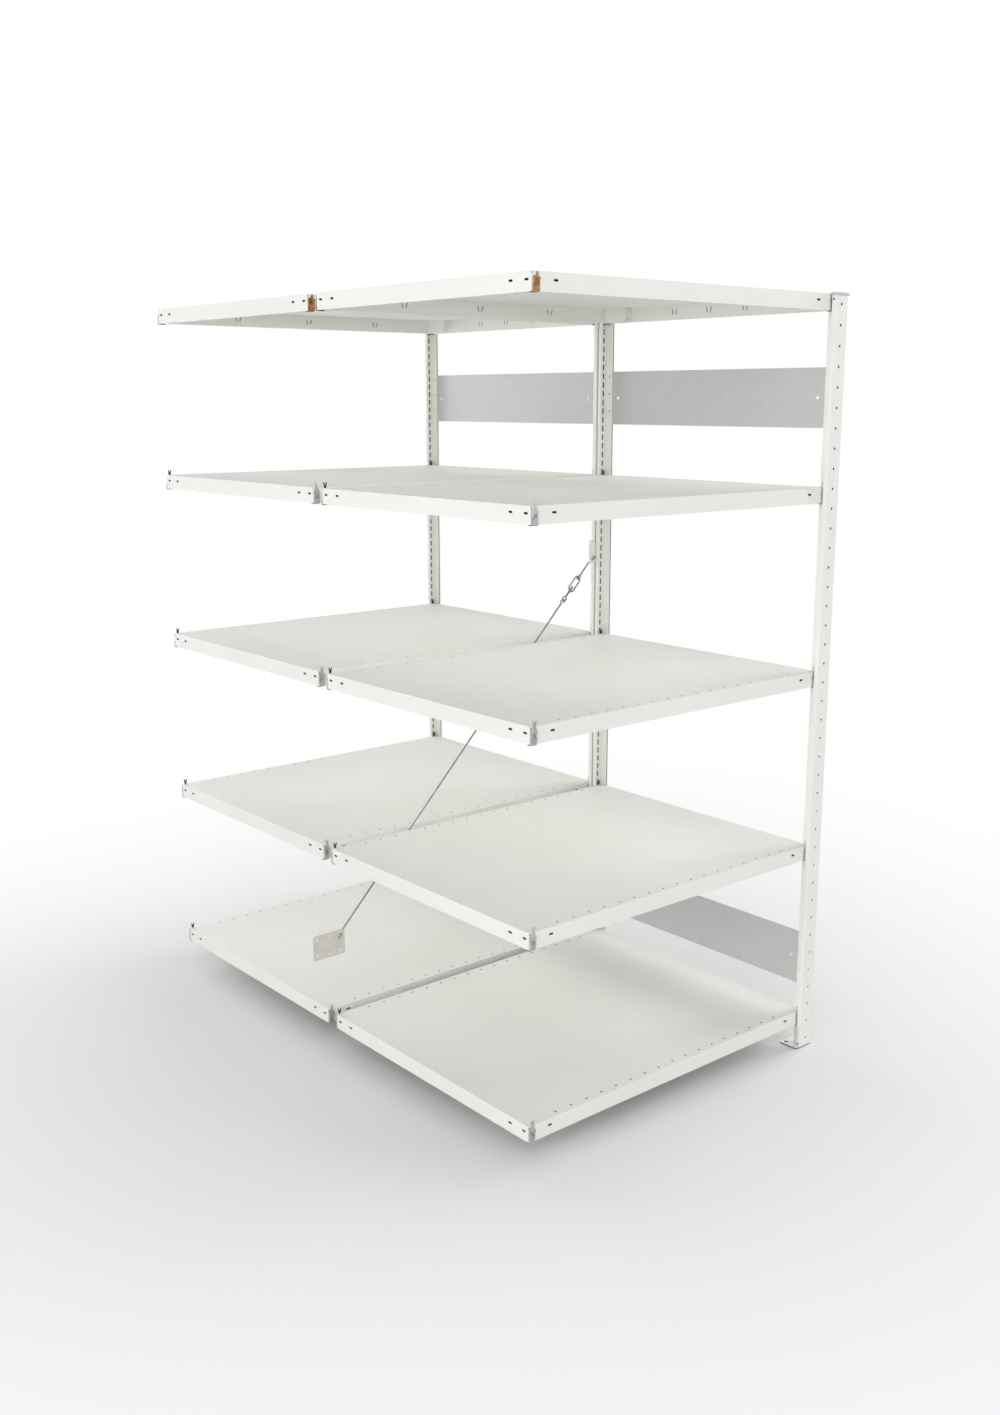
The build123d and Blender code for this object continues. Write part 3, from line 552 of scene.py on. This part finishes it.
# %% Tie rod with its rolled eye
rod_eye_up = -0.1627
reverse_drop, reverse_radius = 0.00954, 0.003
low_end = -float(np.linalg.norm(hook_point - low_hook_point))
reverse = arc((rod_eye_up - reverse_drop, reverse_radius), reverse_radius, 270, 342, 7)
rolled = arc((rod_eye_up, 0.0), eye_radius, 162.5, -145, 44)
low_bend = crossing(-1) + np.array([low_end, 0.0])
straight = np.linspace(low_bend[-1], reverse[0], 12)[1:-1]
rod_path = np.concatenate([low_bend, straight, reverse, rolled[1:]])
thickness = np.concatenate([np.full(len(low_bend) + len(straight), rod_radius),
                            np.linspace(rod_radius, wire_radius, len(reverse)),
                            np.full(len(rolled) - 1, wire_radius)])
surface_piece("bent_tie_rod", [(rod_tube(rod_path, thickness), False)], "brace_steel", "tie_rod")

# %% [markdown]
# ## Rivets and rounded sheet
# A drive rivet ends in a low dome. Stamped plates and clips are sheared from sheet and tumbled, so
# that no edge is a knife: an edge without any round never catches the light, and looks drawn
# rather than made. A copy of the solid is welded from its loose triangles, its flat faces are
# joined, and a bevel of a few tenths of a millimetre rounds the edges.

# %% Domed rivets
def along_depth(profile, x, z, columns=28):
    """Grid of a body turned about a line through the depth, from pairs (radius, back)."""
    radius, back = np.array(profile).T[:, :, None]
    angle = np.linspace(0, 2 * np.pi, columns, endpoint=False)[None, :]
    return np.stack([x + radius * np.cos(angle), back + 0 * angle, z + radius * np.sin(angle)], -1)


rivet_low, rivet_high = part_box("gusset_rivets")
reach, head, shank = rivet_high.y, 0.005, 0.0032
dome_rise, dome_turn = 0.0012, 1.45
lift = np.linspace(0, 1, 6)[:, None]
dome = np.hstack([head * np.cos(lift * dome_turn),
                  reach - dome_rise + dome_rise * np.sin(lift * dome_turn)])
half_rivet = np.vstack([[(shank, 0.0), (shank, reach - dome_rise)], dome])
rivet = np.vstack([half_rivet[:0:-1] * (1, -1), half_rivet])
middle_x = (rivet_low.x + rivet_high.x) / 2
surface_piece("domed_rivets", [
    (along_depth(rivet, middle_x, rivet_low.z + head), False),
    (along_depth(rivet, middle_x, rivet_high.z - head), False),
], "bright_zinc", "gusset_rivets", smooth=35)


# %% Rounded copies of clips and plates
def rounded(node, name, radius, steps=2):
    """Copies a node, welds it, joins its flat faces and rounds its sharp edges with a bevel."""
    mesh = frame["nodes"][node].data.copy()
    work = bmesh.new()
    work.from_mesh(mesh)
    bmesh.ops.remove_doubles(work, verts=work.verts, dist=0.000001)
    bmesh.ops.dissolve_limit(work, angle_limit=radians(1), verts=work.verts, edges=work.edges)
    work.to_mesh(mesh)
    work.free()
    mesh.shade_smooth()
    piece = bpy.data.objects.new(name, mesh)
    bpy.context.scene.collection.objects.link(piece)
    bevel = piece.modifiers.new("rounded_edges", "BEVEL")
    bevel.width = radius
    bevel.segments = steps
    bevel.limit_method = "ANGLE"
    bevel.angle_limit = radians(40)
    bevel.harden_normals = True
    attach(piece, body_of[node])
    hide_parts(node)
    return piece


tumbled = {"clips": 0.0003, "cap": 0.0004, "foot": 0.0005, "turnbuckle": 0.0008,
           "upper_gusset": 0.0004, "lower_gusset": 0.0004}
copies = [rounded(node, f"rounded_{node}", size) for node in list(frame["nodes"])
          for start, size in tumbled.items() if node.startswith(start)]
print("rounded copies:", len(copies))

# %% [markdown]
# ## Floor, surround and light
# The bay stands on a pale floor that fades into white, as on a studio sweep. The floor is lit like
# anything else near the bay, so that it keeps the soft shadow, and further out what the camera sees
# of it turns to plain white. The surround is white to the camera and to reflections. As a lamp it is
# brightest in a low band all round, (1 - |height|) squared, because light must come from the side to
# reach the decks under one another. Five soft boxes fill the rest.

# %% Floor
floor_mesh = bpy.data.meshes.new("studio_floor")
floor_half, floor_level = 30.0, -0.0003
floor_mesh.from_pydata([(-floor_half, -floor_half, floor_level), (floor_half, -floor_half, floor_level),
                        (floor_half, floor_half, floor_level), (-floor_half, floor_half, floor_level)],
                       [], [(0, 1, 2, 3)])
floor = bpy.data.objects.new("studio_floor", floor_mesh)
bpy.context.scene.collection.objects.link(floor)

sweep = bpy.data.materials.new("studio_sweep")
sweep.use_nodes = True
floor_middle = (0.5, 0.0, 0.0)
fade_from, fade_to, fade_power = 0.85, 3.45, 2.2
tree = sweep.node_tree
tree.nodes.clear()
where = place(tree, "ShaderNodeTexCoord")
offset = place(tree, "ShaderNodeVectorMath", {0: where.outputs["Object"], 1: floor_middle},
               operation="SUBTRACT")
far = place(tree, "ShaderNodeVectorMath", {0: offset.outputs[0]}, operation="LENGTH")
near = place(tree, "ShaderNodeMapRange",
             {"Value": far.outputs["Value"], "From Min": fade_from, "From Max": fade_to,
              "To Min": 1.0, "To Max": 0.0})
bent = place(tree, "ShaderNodeMath", {0: near.outputs[0], 1: fade_power}, operation="POWER")
fade = place(tree, "ShaderNodeMath", {0: 1.0, 1: bent.outputs[0]}, operation="SUBTRACT")
ray = place(tree, "ShaderNodeLightPath")
seen = place(tree, "ShaderNodeMath", {0: fade.outputs[0], 1: ray.outputs["Is Camera Ray"]},
             operation="MULTIPLY")
lit = place(tree, "ShaderNodeBsdfDiffuse", {"Color": (0.86, 0.86, 0.865, 1)})
plain = place(tree, "ShaderNodeEmission", {"Color": (1, 1, 1, 1), "Strength": 1.0})
mixed = place(tree, "ShaderNodeMixShader", {0: seen.outputs[0], 1: lit.outputs[0], 2: plain.outputs[0]})
place(tree, "ShaderNodeOutputMaterial", {"Surface": mixed.outputs[0]})
floor_mesh.materials.append(sweep)
print("floor:", 2 * floor_half, "m square")

# %% Surround
band_light, even_light = 1.23, 0.18
surround = bpy.data.worlds.new("studio_surround")
bpy.context.scene.world = surround
surround.use_nodes = True
tree = surround.node_tree
tree.nodes.clear()
ray = place(tree, "ShaderNodeLightPath")
either = place(tree, "ShaderNodeMath",
               {0: ray.outputs["Is Camera Ray"], 1: ray.outputs["Is Glossy Ray"]},
               operation="MAXIMUM")
any_of = place(tree, "ShaderNodeMath", {0: either.outputs[0], 1: ray.outputs["Is Transmission Ray"]},
               operation="MAXIMUM")
way = place(tree, "ShaderNodeTexCoord")
parts = place(tree, "ShaderNodeSeparateXYZ", {0: way.outputs["Generated"]})
height = place(tree, "ShaderNodeMath", {0: parts.outputs[2]}, operation="ABSOLUTE")
level = place(tree, "ShaderNodeMath", {0: 1.0, 1: height.outputs[0]}, operation="SUBTRACT")
band = place(tree, "ShaderNodeMath", {0: level.outputs[0], 1: 2.0}, operation="POWER")
strength = place(tree, "ShaderNodeMath", {0: band.outputs[0], 1: band_light, 2: even_light},
                 operation="MULTIPLY_ADD")
soft = place(tree, "ShaderNodeBackground", {"Color": (1, 1, 1, 1), "Strength": strength.outputs[0]})
white = place(tree, "ShaderNodeBackground", {"Color": (1, 1, 1, 1), "Strength": 1.0})
mixed = place(tree, "ShaderNodeMixShader",
              {0: any_of.outputs[0], 1: soft.outputs[0], 2: white.outputs[0]})
place(tree, "ShaderNodeOutputWorld", {"Surface": mixed.outputs[0]})
print("surround:", even_light, "to", even_light + band_light)


# %% Soft boxes
def soft_lamp(name, location, target, size, power):
    """Adds a square lamp that faces a target."""
    lamp = bpy.data.lights.new(name, "AREA")
    lamp.shape = "SQUARE"
    lamp.size = size
    lamp.energy = power
    holder = bpy.data.objects.new(name, lamp)
    toward = np.array(target) - np.array(location)
    holder.location = location
    holder.rotation_euler = (atan2(float(np.hypot(toward[0], toward[1])), -float(toward[2])), 0,
                             atan2(-float(toward[0]), float(toward[1])))
    bpy.context.scene.collection.objects.link(holder)
    print("lamp:", name, power, "W")


middle = (0.5, 0.0, 0.9)
lamp_size = 3.0
soft_lamp("left_softbox", (-5.0, -1.5, 1.3), middle, lamp_size, 90)
soft_lamp("front_softbox", (1.0, -5.5, 1.3), middle, lamp_size, 28)
soft_lamp("high_softbox", (-3.0, -4.0, 4.5), middle, lamp_size, 75)
soft_lamp("right_softbox", (5.5, -1.0, 3.0), middle, lamp_size, 133)
soft_lamp("back_softbox", (0.5, 5.5, 1.2), middle, lamp_size, 239)
bpy.context.scene.view_settings.view_transform = "Standard"
